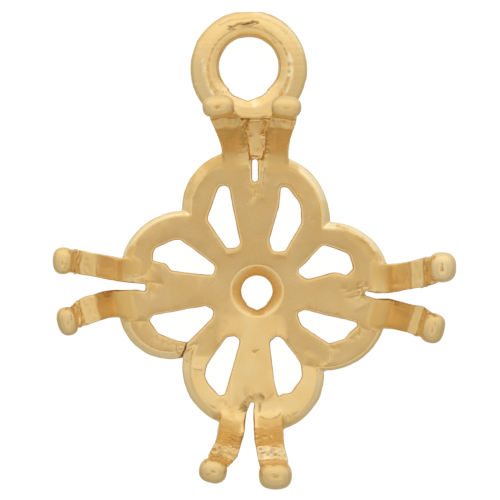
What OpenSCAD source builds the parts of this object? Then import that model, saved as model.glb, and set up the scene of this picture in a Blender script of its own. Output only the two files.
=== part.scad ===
// Claw setting for a gold pendant: a pierced quatrefoil plate with a countersunk centre
// hole, four pairs of prongs that slant up and outward, and a bail at the top.
// Millimetres. The origin is the axis of the centre hole on the flat back, +Y points
// to the bail and +Z out of the front.

/* [Plate] */
// Thickness of the plate
plate_t = 1.2; // [1.0:0.05:1.5]
// Height of the bevel on the front edge of the lobes
bevel_h = 0.32; // [0.2:0.02:0.5]
// Chamfer on the back edge of the lobes
back_chamfer = 0.15; // [0.05:0.05:0.3]
// Radius of the hub in which the eight spokes meet
hub_r = 2.6; // [2.3:0.1:2.8]
// Extra metal on each side of the charted openings between the spokes
opening_trim = 0.05; // [0:0.01:0.1]
// Width of the open joint where the lower left lobe never met its spoke
joint_gap = 0.08; // [0.04:0.01:0.15]

/* [Centre hole] */
// Radius of the hole
hole_r = 0.72; // [0.6:0.01:0.8]
// Radius of the countersink on the front
sink_r = 1.17; // [1.0:0.01:1.3]
// Height of the straight wall below the countersink
hole_land = 0.75; // [0.6:0.05:0.9]

/* [Prongs] */
// Height of the stone's seats above the back
seat_z = 3.45; // [3.2:0.05:3.7]
// Height of the middle of the prong tips
tip_z = 4.65; // [4.5:0.05:5.0]
// Rise of a seat from its inner to its outer edge
seat_rise = 0.08; // [0:0.02:0.2]
// Fullness of a tip's ends: 0 is round like an egg and 1 is square
tip_full = 0.2; // [0:0.05:0.6]
// Radius of the bend under the root of a prong
elbow_r = 0.8; // [0.4:0.1:1.2]

/* [Bail] */
// Middle of the bail across the plate
bail_x = -0.38; // [-0.5:0.01:0.5]
// Middle of the bail above the centre hole
bail_y = 10.2; // [10.1:0.05:10.4]
// Outer radius of the bail
bail_r = 2.68; // [2.5:0.02:2.8]
// Thickness of the bail
bail_t = 1.5; // [1.4:0.05:1.8]
// Height at which the top of the bail was filed flat
bail_top = 12.8; // [12.7:0.05:12.9]
// Radius of the eye
eye_r = 1.37; // [1.2:0.01:1.5]
// How far the middle of the eye lies above the middle of the bail
eye_rise = 0.11; // [0:0.01:0.15]
// Height of the straight wall in the eye
eye_land = 0.9; // [0.7:0.05:1.1]
// Width of the cone on each side of the eye's wall
eye_cone = 0.4; // [0.2:0.05:0.5]
// Thickness of the neck between the prongs
neck_t = 0.95; // [0.8:0.05:1.1]
// Height of the web's step over the neck, from which it slopes down to the bail
web_t = 1.65; // [1.5:0.05:1.8]

/* [Hidden] */

GOLD = "#d9b26a";
PALE_GOLD = "#e3c48a";
DEEP_GOLD = "#c49a4c";

ROUND_FN = 64;
ARC_STEP = 15;
TIP_STEP = 7.5;
SIDE_SHARE = 0.49;
PAST = 1;
PRONG_SPAN = 6;
EDGE_ROUND = 0.6;
RAMP_ROUND = 1.2;
ROOT_IN = 1.4;
PRONG_SLOPE = 60;

// Rounding of a seat's inner and outer edge
SEAT_ROUND = [0.08, 0.05];

// Where the stem of a prong ends inside its tip, as shares of the tip's radius: inner and
// outer side, and how far below the tip's middle
STEM_IN = 0.75;
STEM_OUT = 0.72;
STEM_LOW = 0.3;

// Where a tip's inner side was cut off for the stone, as a share of its radius
TIP_CUT = 0.8;

// Rim of the bail: depth of its slopes, their rounding, and the part of the thickness
// that each slope takes
RIM_W = 0.65;
RIM_ROUND = 0.5;
RIM_SLOPE = 0.28;

// Lobes of the rim: middle x, middle y, radius, width of the front bevel
LOBES = [
    [-0.80, 3.80, 2.64, 0.38],
    [-3.35, 0.75, 2.93, 0.18],
    [0.35, 3.30, 2.99, 0.30],
    [3.35, 0.40, 2.74, 0.25],
    [-4.00, -0.80, 2.33, 0.30],
    [-0.80, -3.55, 2.62, 0.40],
    [3.05, -0.75, 2.92, 0.15],
    [0.50, -3.85, 2.58, 0.35]
];

// Openings between the spokes, clockwise from the top left one, each with its corners
// clockwise: corner x, corner y, radius
PETALS = [
    [[-1.24, 4.88, 0.25], [-1.08, 4.00, 1.5], [-0.95, 3.30, 1.5], [-0.66, 1.95, 0.30],
     [-1.42, 1.90, 0.15], [-2.36, 3.28, 0.25], [-1.78, 4.92, 0.35]],
    [[1.05, 4.87, 0.15], [1.45, 4.80, 0.15], [2.05, 4.00, 0.8], [2.10, 3.12, 0.5],
     [1.33, 1.78, 0.20], [0.70, 1.76, 0.20], [0.50, 2.30, 0.25], [0.98, 4.00, 1.2]],
    [[3.02, 2.20, 0.25], [4.28, 1.75, 0.35], [4.50, 1.00, 0.10], [4.12, 0.65, 0.05],
     [3.60, 0.82, 0.5], [2.28, 0.46, 0.30], [1.70, 0.88, 0.20], [2.15, 1.28, 0.40]],
    [[1.76, -1.00, 0.15], [2.15, -0.80, 0.20], [4.58, -1.38, 0.15], [4.72, -1.60, 0.08],
     [4.28, -1.96, 0.10], [4.05, -2.24, 0.10], [3.30, -2.48, 0.15], [2.00, -1.62, 0.30]],
    [[0.52, -2.30, 0.20], [0.92, -1.98, 0.20], [1.22, -2.16, 0.30], [2.06, -3.30, 0.5],
     [2.14, -3.95, 0.5], [1.60, -4.74, 0.25], [1.20, -4.77, 0.10], [0.97, -4.98, 0.08],
     [0.74, -4.20, 1.0]],
    [[-1.00, -2.01, 0.20], [-0.70, -2.20, 0.20], [-1.44, -4.80, 0.10], [-1.75, -4.88, 0.10],
     [-2.27, -4.32, 0.12], [-2.46, -3.90, 0.4], [-2.34, -3.35, 0.6], [-1.42, -2.05, 0.25]],
    [[-5.04, -1.32, 0.10], [-4.75, -1.06, 0.15], [-3.90, -0.92, 0.5], [-2.35, -0.62, 0.20],
     [-1.90, -0.85, 0.20], [-2.02, -1.28, 0.20], [-3.17, -2.42, 0.08], [-3.65, -2.34, 0.40],
     [-4.60, -1.98, 0.20]],
    [[-4.85, 1.36, 0.03], [-4.81, 1.98, 0.40], [-3.60, 2.49, 0.45], [-1.86, 1.18, 0.20],
     [-1.96, 0.66, 0.15], [-2.60, 0.72, 0.30], [-3.98, 0.88, 0.05], [-4.20, 1.22, 0.30]]
];

// Prongs: arm they stand on and turn of the seat, both in degrees, side of the arm's
// middle line, tip out along the arm and tip across it
PRONG_PLACES = [
    [180, 0, -1, 8.80, 1.40],
    [180, 15, 1, 8.61, 1.35],
    [0, 0, 1, 8.40, 1.10],
    [0, -15, -1, 7.97, 1.67],
    [270, -16, -1, 8.14, 2.00],
    [270, 0, 1, 8.34, 0.83],
    [90, 4, 1, 8.40, 1.76],
    [90, -3, -1, 8.37, 1.33]
];

// The same prongs, back from the middle of the tip: foot of the ramp, inner and outer
// edge of the seat, and then the radius and the width of the tip
PRONG_SHAPES = [
    [2.80, 1.44, 0.78, 0.49, 1.24],
    [2.37, 1.44, 0.77, 0.47, 1.34],
    [2.54, 1.37, 0.80, 0.66, 1.40],
    [2.22, 1.01, 0.63, 0.56, 1.38],
    [2.30, 1.21, 0.71, 0.58, 1.28],
    [2.48, 1.25, 0.68, 0.67, 1.50],
    [2.26, 0.95, 0.54, 0.53, 1.44],
    [2.30, 0.93, 0.50, 0.52, 1.38]
];

// The same prongs seen from the front: distance along the arm, then how far the inner
// and the outer edge stand from the arm's middle line
PRONG_EDGES = [
    [[5.10, 0.31, 1.30], [6.00, 0.41, 1.45], [6.40, 0.45, 1.53], [6.80, 0.53, 1.62],
     [7.20, 0.62, 1.69], [7.60, 0.69, 1.76], [8.00, 0.75, 1.86], [8.70, 0.90, 1.94]],
    [[5.10, 0.03, 1.30], [5.50, -0.05, 1.30], [6.00, -0.05, 1.26], [6.40, -0.05, 1.20],
     [6.80, -0.04, 1.21], [7.15, 0.04, 1.33], [7.50, 0.17, 1.46], [7.90, 0.24, 1.58],
     [8.30, 0.52, 1.72], [8.60, 0.80, 1.80]],
    [[4.95, 0.00, 1.30], [5.50, -0.09, 1.28], [6.00, -0.09, 1.23], [6.40, -0.03, 1.27],
     [6.80, 0.06, 1.32], [7.15, 0.13, 1.40], [7.55, 0.18, 1.52], [7.95, 0.28, 1.60],
     [8.40, 0.48, 1.66]],
    [[4.95, 0.19, 1.60], [5.45, 0.36, 1.68], [6.10, 0.35, 1.72], [6.40, 0.44, 1.77],
     [6.80, 0.55, 1.86], [7.15, 0.64, 1.98], [7.55, 0.66, 2.12], [8.00, 1.00, 2.22]],
    [[5.10, 0.30, 1.60], [5.50, 0.47, 1.68], [6.00, 0.55, 1.73], [6.40, 0.57, 1.78],
     [6.80, 0.68, 1.86], [7.15, 0.78, 2.03], [7.50, 0.88, 2.20], [7.80, 1.10, 2.35],
     [8.10, 1.50, 2.42]],
    [[5.10, -0.10, 1.20], [5.50, -0.15, 1.20], [6.00, -0.15, 1.20], [6.40, -0.12, 1.20],
     [6.80, -0.10, 1.21], [7.15, -0.04, 1.26], [7.55, 0.03, 1.38], [7.90, 0.10, 1.43],
     [8.35, 0.24, 1.48]],
    [[5.20, 0.36, 1.40], [6.20, 0.36, 1.60], [6.60, 0.40, 1.63], [7.00, 0.45, 1.76],
     [7.40, 0.55, 1.92], [7.75, 0.68, 2.10], [8.30, 1.05, 2.26]],
    [[5.20, 0.20, 1.30], [6.20, 0.30, 1.44], [6.60, 0.40, 1.45], [7.00, 0.45, 1.52],
     [7.40, 0.50, 1.66], [7.75, 0.58, 1.78], [8.30, 0.75, 1.88]]
];

// The prongs on the two sides of each slot that is open at its outer end
SLOT_PAIRS = [[0, 1], [2, 3], [4, 5]];

// Closed slot below the bail: corner x, corner y, radius
TOP_SLOT = [[-0.23, 5.00, 0.13], [0.05, 5.00, 0.13], [0.04, 6.04, 0.10], [-0.23, 6.06, 0.10]];

// Neck between the bail and the plate: corner x, corner y, radius
NECK = [
    [-2.35, 9.30, 0], [-2.15, 8.60, 0.5], [-1.35, 7.60, 0.8], [-1.15, 6.00, 0.3], [-1.10, 5.90, 0],
    [0.95, 5.90, 0], [1.00, 6.20, 0.3], [1.10, 7.60, 0.8], [1.50, 8.60, 0.5], [1.70, 9.30, 0]
];

// Web below the eye: distance from the centre hole at its foot and at its top, and its width
WEB = [7.9, 9.3, 2.6];

// Wider foot of the eye, whose lowest point is its fourth corner: x, y
EYE_FOOT = [
    [-1.20, 9.32], [-1.30, 9.20], [-1.08, 8.98], [-0.42, 8.72], [0.26, 8.98], [0.51, 9.20], [0.42, 9.32]
];

// Tail at the foot of the centre hole: x, y
HOLE_TAIL = [
    [-0.46, -0.50], [-0.49, -0.60], [-0.38, -0.71], [0.00, -0.88], [0.34, -0.71], [0.46, -0.60],
    [0.44, -0.50]
];

// Where the open joint of the lower left lobe starts and ends
JOINT_LINE = [[-3.16, -2.20], [-3.56, -3.40]];

function unit(v) = v / norm(v);

// A point of an arm's own frame, out along the arm and across it, in the plate's frame
function from_arm(arm, along, across) =
    [along * cos(arm) - across * sin(arm), along * sin(arm) + across * cos(arm)];

// The arc that rounds the corner b between a and c, or b itself where the path is straight.
// It takes less than half of either side
function corner(a, b, c, r) =
    let (
        u = unit(a - b),
        v = unit(c - b),
        turn = 180 - acos(max(-1, min(1, u * v))),
        reach = r * tan(turn / 2),
        cut = min(reach, SIDE_SHARE * norm(a - b), SIDE_SHARE * norm(c - b))
    )
    turn < 1 || r == 0 ? [b] :
    let (
        arc_r = cut / tan(turn / 2),
        middle = b + unit(u + v) * arc_r / cos(turn / 2),
        from = unit(b + u * cut - middle),
        to = unit(b + v * cut - middle),
        steps = ceil(turn / ARC_STEP)
    )
    [for (i = [0 : steps])
        middle + arc_r * (sin(turn * (1 - i / steps)) * from + sin(turn * i / steps) * to) / sin(turn)];

// A closed outline with rounded corners, from rows of x, y and radius
function rounded(rows) =
    let (n = len(rows))
    [for (i = [0 : n - 1])
        let (
            a = rows[(i + n - 1) % n],
            b = rows[i],
            c = rows[(i + 1) % n]
        )
        each corner([a.x, a.y], [b.x, b.y], [c.x, c.y], b.z)];

// The same closed outline with each side moved in by d, from rows that run clockwise
function trimmed(rows, d) =
    let (n = len(rows))
    [for (i = [0 : n - 1])
        let (
            b = rows[i],
            u = unit([b.x, b.y] - [rows[(i + n - 1) % n].x, rows[(i + n - 1) % n].y]),
            v = unit([rows[(i + 1) % n].x, rows[(i + 1) % n].y] - [b.x, b.y]),
            inward = unit([u.y + v.y, -u.x - v.x]),
            reach = d / sqrt((1 + u * v) / 2)
        )
        [b.x + reach * inward.x, b.y + reach * inward.y, b.z]];

function reversed(rows) = [for (i = [len(rows) - 1 : -1 : 0]) rows[i]];

// One edge of a prong seen from the front, as rows of x, y and radius with sharp ends
function prong_edge(i, column) =
    let (
        rows = PRONG_EDGES[i],
        place = PRONG_PLACES[i]
    )
    [for (k = [0 : len(rows) - 1])
        let (p = from_arm(place[0], rows[k][0], place[2] * rows[k][column]))
        [p.x, p.y, k == 0 || k == len(rows) - 1 ? 0 : EDGE_ROUND]];

// A prong's outline from the front
function prong_front(i) = rounded(concat(prong_edge(i, 1), reversed(prong_edge(i, 2))));

// A prong's outline from the side: out from the tip and up from the back
function prong_side(i) =
    let (
        shape = PRONG_SHAPES[i],
        foot = -shape[0],
        tip_r = shape[3]
    )
    rounded([
        [foot - ROOT_IN, 0, 0],
        [foot - ROOT_IN, plate_t, 0],
        [foot, plate_t, RAMP_ROUND],
        [-shape[1], seat_z, SEAT_ROUND[0]],
        [-shape[2], seat_z + seat_rise, SEAT_ROUND[1]],
        [-STEM_IN * tip_r, tip_z - STEM_LOW * tip_r, 0],
        [STEM_OUT * tip_r, tip_z - STEM_LOW * tip_r, 0],
        [foot + plate_t / tan(PRONG_SLOPE), 0, elbow_r]
    ]);

// The tip of a prong: a bead that lies across it, thickest in the middle and cut off at
// its inner side
module tip(r, width) {
    half = width / 2;
    power = 1 - tip_full;
    difference() {
        rotate([90, 0, 0])
            rotate_extrude($fn = ROUND_FN)
                polygon(concat([[0, -half]], [for (a = [TIP_STEP - 90 : TIP_STEP : 90 - TIP_STEP])
                    [r * pow(cos(a), power), half * sign(a) * pow(abs(sin(a)), power)]], [[0, half]]));
        translate([-PAST - TIP_CUT * r, -width, -PAST])
            cube([PAST, 2 * width, 2 * PAST]);
    }
}

module prong(i) {
    place = PRONG_PLACES[i];
    shape = PRONG_SHAPES[i];
    middle = from_arm(place[0], place[3], place[2] * place[4]);
    color(DEEP_GOLD)
        intersection() {
            linear_extrude(height = tip_z + PAST)
                polygon(prong_front(i));
            translate([middle.x, middle.y, 0])
                rotate([0, 0, place[0] + place[1]])
                    rotate([90, 0, 0])
                        linear_extrude(height = PRONG_SPAN, center = true)
                            polygon(prong_side(i));
        }
    color(PALE_GOLD)
        translate([middle.x, middle.y, tip_z])
            rotate([0, 0, place[0] + place[1]])
                tip(shape[3], shape[4]);
}

// One lobe as a disc with a bevelled front edge and a chamfered back edge
module lobe(r, bevel_w) {
    rotate_extrude($fn = 2 * ROUND_FN)
        polygon([
            [0, 0],
            [r - back_chamfer, 0],
            [r, back_chamfer],
            [r, plate_t - bevel_h],
            [r - bevel_w, plate_t],
            [0, plate_t]
        ]);
}

// A straight cut through the whole thickness, from an outline
module cut_through(outline) {
    translate([0, 0, -PAST])
        linear_extrude(height = bail_t + 2 * PAST)
            polygon(outline);
}

module petals() {
    for (rows = PETALS)
        cut_through(rounded(trimmed(rows, opening_trim)));
}

module slots() {
    for (pair = SLOT_PAIRS)
        cut_through(rounded(concat(prong_edge(pair[0], 1), reversed(prong_edge(pair[1], 1)))));
    cut_through(rounded(TOP_SLOT));
}

module centre_hole() {
    translate([0, 0, -PAST])
        cylinder(h = plate_t + 2 * PAST, r = hole_r, $fn = ROUND_FN);
    translate([0, 0, hole_land])
        cylinder(h = plate_t - hole_land, r1 = hole_r, r2 = sink_r, $fn = ROUND_FN);
    cut_through(HOLE_TAIL);
}

module open_joint() {
    run = JOINT_LINE[1] - JOINT_LINE[0];
    side = joint_gap / 2 * unit([-run.y, run.x]);
    cut_through([JOINT_LINE[0], JOINT_LINE[1] + side, JOINT_LINE[1] - side]);
}

module plate() {
    color(GOLD)
        difference() {
            union() {
                for (row = LOBES)
                    translate([row[0], row[1], 0])
                        lobe(row[2], row[3]);
                cylinder(h = plate_t, r = hub_r, $fn = 2 * ROUND_FN);
            }
            petals();
            slots();
            centre_hole();
            open_joint();
        }
}

// The bail's round band, before the eye is cut
module bail_disc() {
    rotate_extrude($fn = 2 * ROUND_FN)
        polygon(rounded([
            [0, 0, 0],
            [bail_r - RIM_W, 0, RIM_ROUND],
            [bail_r, RIM_SLOPE * bail_t, RIM_ROUND],
            [bail_r, (1 - RIM_SLOPE) * bail_t, RIM_ROUND],
            [bail_r - RIM_W, bail_t, RIM_ROUND],
            [0, bail_t, 0]
        ]));
}

// The eye, with a cone to the front and one to the back
module eye() {
    cone_h = (bail_t - eye_land) / 2;
    front_h = max(bail_t, web_t) - bail_t + cone_h;
    translate([0, 0, -PAST])
        cylinder(h = bail_t + 2 * PAST, r = eye_r, $fn = 2 * ROUND_FN);
    translate([0, 0, bail_t - cone_h])
        cylinder(h = front_h, r1 = eye_r, r2 = eye_r + eye_cone * front_h / cone_h, $fn = 2 * ROUND_FN);
    cylinder(h = cone_h, r1 = eye_r + eye_cone, r2 = eye_r, $fn = 2 * ROUND_FN);
}

// The web that stands over the neck between the top prongs and slopes down to the bail
module web() {
    intersection() {
        linear_extrude(height = web_t)
            polygon(rounded(NECK));
        translate([bail_x, 0, 0])
            rotate([90, 0, 90])
                linear_extrude(height = WEB[2], center = true)
                    polygon([[WEB[0], 0], [WEB[0], web_t], [WEB[1], bail_t], [WEB[1], 0]]);
    }
}

// Room above the neck, below the web's step
module neck_room() {
    translate([bail_x - bail_r, WEB[0] - PAST, neck_t])
        cube([2 * bail_r, PAST, bail_t]);
}

module bail() {
    color(PALE_GOLD)
        difference() {
            union() {
                translate([bail_x, bail_y, 0])
                    bail_disc();
                linear_extrude(height = neck_t)
                    polygon(rounded(NECK));
                web();
            }
            translate([bail_x, bail_y + eye_rise, 0])
                eye();
            cut_through(EYE_FOOT);
            cut_through(rounded(TOP_SLOT));
            neck_room();
            translate([bail_x - bail_r, bail_top, -PAST])
                cube([2 * bail_r, PAST, bail_t + 2 * PAST]);
        }
}

module setting() {
    union() {
        plate();
        for (i = [0 : len(PRONG_PLACES) - 1])
            prong(i);
        bail();
    }
}

setting();
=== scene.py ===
"""Looks of the claw setting: one gold casting, worked over by hand and lit in a white tent."""
import logging
import math
from dataclasses import dataclass, field, replace
from enum import Enum
from typing import ClassVar

import bmesh
import bpy
import numpy as np
from mathutils import Matrix, Vector


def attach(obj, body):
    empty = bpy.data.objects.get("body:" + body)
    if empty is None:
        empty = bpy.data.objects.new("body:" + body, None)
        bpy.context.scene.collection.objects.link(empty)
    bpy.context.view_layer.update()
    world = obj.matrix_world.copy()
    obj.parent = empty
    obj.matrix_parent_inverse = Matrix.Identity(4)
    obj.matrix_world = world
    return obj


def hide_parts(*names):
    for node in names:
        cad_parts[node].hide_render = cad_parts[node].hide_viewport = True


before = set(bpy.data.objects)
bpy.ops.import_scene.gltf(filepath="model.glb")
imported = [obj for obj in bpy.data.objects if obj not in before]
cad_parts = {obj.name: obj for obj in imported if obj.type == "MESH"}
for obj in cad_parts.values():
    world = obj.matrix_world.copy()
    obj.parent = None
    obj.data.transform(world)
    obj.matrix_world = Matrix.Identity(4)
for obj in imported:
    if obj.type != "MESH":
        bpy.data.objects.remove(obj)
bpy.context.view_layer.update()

log = logging.getLogger("setting")

MM = 0.001
NODE = "setting"

Point = tuple[float, float]
# Ends of a soft edge: the number that gives 0, then the number that gives 1
Edge = tuple[float, float]
# Lowest and highest number of a range
Span = tuple[float, float]
# Mean of an uneven share, and how far it swings about it
Swing = tuple[float, float]
# How far a zone goes past the two places that it lies between, and the width of its soft ends
Stretch = tuple[float, float, float]


class Tone(Enum):
    """What a mark leaves on the gold, or the painted light and shade laid on it, as the name of the surface's
    attribute.
    """

    # Dark brown: real stains and dirt, and painted shade on the opening edges, the claw roots and the neck
    STAIN = "stain"
    # Paler, smoother gold: real wear, and also painted highlight where the metal is made to look bright
    POLISH = "polish"
    # Brown rough skin as cast, and painted shade in the claws' root creases and beside the neck
    CAST = "cast"


class Layer(Enum):
    """Lowest and highest metal that a mark reaches, in millimetres above the back."""

    PLATE = (-1.0, 1.75)
    CLAW = (1.75, 6.0)
    ALL = (-1.0, 6.0)


class Signal:
    """A socket's value in a shader, on which Python's operators add Math nodes."""

    def __init__(self, shader: "Shader", socket: bpy.types.NodeSocket) -> None:
        """Wrap one output socket of the shader's tree."""
        self.shader = shader
        self.socket = socket

    def math(self, operation: str, *values: "Signal | float") -> "Signal":
        """Add one Math node.

        Args:
            operation: name of the Math node's operation.
            values: what goes into its sockets, in order.

        Returns:
            The node's value.
        """
        node = self.shader.node("ShaderNodeMath", {"operation": operation}, dict(enumerate(values)))
        return Signal(self.shader, node.outputs[0])

    def __add__(self, other: "Signal | float") -> "Signal":
        """Sum of two values."""
        return self.math("ADD", self, other)

    __radd__ = __add__

    def __sub__(self, other: "Signal | float") -> "Signal":
        """Difference of two values."""
        return self.math("SUBTRACT", self, other)

    def __rsub__(self, other: float) -> "Signal":
        """Difference with the number first."""
        return self.math("SUBTRACT", other, self)

    def __mul__(self, other: "Signal | float") -> "Signal":
        """Product of two values."""
        return self.math("MULTIPLY", self, other)

    __rmul__ = __mul__

    def ease(self, start: float, end: float) -> "Signal":
        """Go smoothly from 0 at start to 1 at end.

        Args:
            start: value that gives 0.
            end: value that gives 1.

        Returns:
            The eased value.
        """
        node = self.shader.node(
            "ShaderNodeMapRange",
            {"interpolation_type": "SMOOTHSTEP"},
            {"Value": self, "From Min": start, "From Max": end},
        )
        return Signal(self.shader, node.outputs["Result"])


class Shader:
    """Adds nodes to one node tree."""

    def __init__(self, tree: bpy.types.NodeTree) -> None:
        """Take over a tree and empty it."""
        self.tree = tree
        tree.nodes.clear()

    def node(self, kind: str, settings: dict | None = None, inputs: dict | None = None) -> bpy.types.Node:
        """Add a node.

        Args:
            kind: the node's type.
            settings: its own properties, set before its sockets.
            inputs: a value or a signal for each named or numbered socket.

        Returns:
            The new node.
        """
        made = self.tree.nodes.new(kind)
        for name, value in (settings or {}).items():
            setattr(made, name, value)
        for key, value in (inputs or {}).items():
            if isinstance(value, Signal):
                self.tree.links.new(value.socket, made.inputs[key])
            else:
                made.inputs[key].default_value = value
        return made

    def signal(
        self, kind: str, output: str | int, settings: dict | None = None, inputs: dict | None = None
    ) -> Signal:
        """Add a node and take one of its outputs.

        Args:
            kind: the node's type.
            output: name or number of the output.
            settings: the node's own properties.
            inputs: its sockets' values or signals.

        Returns:
            The output's signal.
        """
        return Signal(self, self.node(kind, settings, inputs).outputs[output])

    def mix(self, factor: Signal, low: "Signal | tuple", high: "Signal | tuple") -> Signal:
        """Mix two colours.

        Args:
            factor: 0 gives low and 1 gives high.
            low: colour or signal.
            high: colour or signal.

        Returns:
            The mixed colour.
        """
        return self.signal("ShaderNodeMix", 2, {"data_type": "RGBA"}, {0: factor, 6: low, 7: high})

    def noise(self, where: Signal, scale: float, detail: float = 2.0, roughness: float = 0.5) -> Signal:
        """Add smooth noise.

        Args:
            where: the point, in millimetres.
            scale: grains for each millimetre.
            detail: octaves of finer noise.
            roughness: strength of the finer octaves.

        Returns:
            The noise, about 0.5 on average.
        """
        return self.signal(
            "ShaderNodeTexNoise", "Fac", {},
            {"Vector": where, "Scale": scale, "Detail": detail, "Roughness": roughness},
        )

    def vector(self, operation: str, output: str | int, *values: "Signal | tuple") -> Signal:
        """Add one Vector Math node.

        Args:
            operation: name of the node's operation.
            output: name or number of the output.
            values: what goes into its sockets, in order.

        Returns:
            The node's result.
        """
        return self.signal("ShaderNodeVectorMath", output, {"operation": operation}, dict(enumerate(values)))


def rgb(red: float, green: float, blue: float) -> tuple[float, float, float, float]:
    """Colour socket value from linear red, green and blue."""
    return (red, green, blue, 1.0)


def new_mesh(name: str, shape: bmesh.types.BMesh) -> bpy.types.Mesh:
    """Turn a finished shape into a mesh.

    Args:
        name: the mesh's name.
        shape: the shape, which is freed.

    Returns:
        The mesh.
    """
    mesh = bpy.data.meshes.new(name)
    shape.to_mesh(mesh)
    shape.free()
    return mesh


def new_object(name: str, data: bpy.types.Mesh | bpy.types.Camera) -> bpy.types.Object:
    """Put a new object into the scene, at the origin.

    Args:
        name: the object's name.
        data: its mesh or camera.

    Returns:
        The object.
    """
    made = bpy.data.objects.new(name, data)
    bpy.context.scene.collection.objects.link(made)
    return made


def smooth(values: np.ndarray, start: float, end: float) -> np.ndarray:
    """Go smoothly from 0 at start to 1 at end.

    Args:
        values: numbers to ease.
        start: number that gives 0.
        end: number that gives 1, which may be below start.

    Returns:
        The eased numbers.
    """
    share = np.clip((values - start) / (end - start), 0.0, 1.0)
    return share * share * (3.0 - 2.0 * share)


def window(values: np.ndarray, low: float, high: float, edge: float = 0.1) -> np.ndarray:
    """Give 1 between two numbers and 0 outside them, with soft edges.

    Args:
        values: numbers to test.
        low: lower end, in the middle of its edge.
        high: upper end, in the middle of its edge.
        edge: width of each edge.

    Returns:
        The share of each number that lies inside.
    """
    half = edge / 2.0
    return smooth(values, low - half, low + half) * smooth(values, high + half, high - half)


def stretch(values: np.ndarray, start: float, end: float, past: Stretch) -> np.ndarray:
    """Give 1 over a zone between two places and 0 outside it.

    Args:
        values: numbers to test.
        start: lower place.
        end: upper place.
        past: how far the zone's ends lie beyond the places, and the width of its soft ends.

    Returns:
        The share of each number that lies inside.
    """
    before, after, edge = past
    return window(values, start + before, end + after, edge)


@dataclass(frozen=True)
class GoldFinish:
    """Tumbled gold: satin on the plate, paler where it is worn or carries a painted highlight, brown where it
    stayed rough, and dark where it is stained or carries painted shade.
    """

    body: tuple = rgb(0.90, 0.67, 0.32)
    warm: tuple = rgb(0.89, 0.63, 0.27)
    # Pale gold of worn spots, and also the colour of the painted highlights
    pale_and_highlight: tuple = rgb(0.97, 0.80, 0.50)
    # Orange-brown of the as-cast skin, also used as painted shade in the claws' root creases and beside the
    # neck
    skin: tuple = rgb(0.89, 0.60, 0.20)
    # Dark brown of real stains, and also the colour of the painted shade
    stain: tuple = rgb(0.24, 0.12, 0.03)
    roughness: float = 0.28
    worn: float = 0.05
    rough_skin: float = 0.25
    rough_stain: float = 0.20
    rough_spread: float = 0.05
    worn_edge: Edge = (0.5, 1.0)
    patch_scale: float = 0.8
    patch_edge: Edge = (0.35, 0.65)
    grain_scale: float = 9.0
    grain_depth: float = 0.0000004
    grain_cast: float = 8.0
    scratch_scale: float = 5.0
    scratch_stretch: tuple = (1.0, 0.12, 1.0)
    scratch_depth: float = 0.0000015

    def material(self) -> bpy.types.Material:
        """Build the finish.

        Returns:
            The material.
        """
        made = bpy.data.materials.new("tumbled_gold")
        made.use_nodes = True
        shader = Shader(made.node_tree)
        place = shader.signal("ShaderNodeTexCoord", "Object")
        where = shader.signal("ShaderNodeVectorMath", 0, {"operation": "SCALE"}, {0: place, "Scale": 1 / MM})
        stain, polish, cast = (
            shader.signal("ShaderNodeAttribute", "Fac", {"attribute_name": tone.value})
            for tone in (Tone.STAIN, Tone.POLISH, Tone.CAST)
        )
        patches = shader.noise(where, self.patch_scale, detail=3.0).ease(*self.patch_edge)
        grain = shader.noise(where, self.grain_scale, detail=4.0, roughness=0.6)
        brushed = shader.vector("MULTIPLY", 0, where, self.scratch_stretch)
        scratches = shader.noise(brushed, self.scratch_scale, detail=3.0, roughness=0.7)
        clean = shader.mix(patches, self.body, self.warm)
        # Paler where worn, and painted highlight on the bevels, the pale ridges, the web and the bail's crest
        worn = shader.mix(polish.ease(*self.worn_edge), clean, self.pale_and_highlight)
        crusted = shader.mix(cast, worn, self.skin)
        # Dark where stained, and painted shade on the opening edges, the claw roots and the neck
        colour = shader.mix(stain, crusted, self.stain)
        roughness = (
            self.roughness
            + self.rough_spread * (grain - 0.5)
            + self.rough_skin * cast
            + self.rough_stain * stain
            - self.worn * polish
        )
        heights = grain * (1.0 + self.grain_cast * cast)
        fine = shader.signal(
            "ShaderNodeBump", "Normal", {}, {"Strength": 1.0, "Distance": self.grain_depth, "Height": heights}
        )
        bump = shader.signal(
            "ShaderNodeBump", "Normal", {},
            {"Strength": 1.0, "Distance": self.scratch_depth, "Height": scratches, "Normal": fine},
        )
        surface = shader.signal(
            "ShaderNodeBsdfPrincipled", 0, {},
            {"Base Color": colour, "Metallic": 1.0, "Roughness": roughness, "Normal": bump},
        )
        shader.node("ShaderNodeOutputMaterial", {}, {"Surface": surface})
        return made


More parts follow.
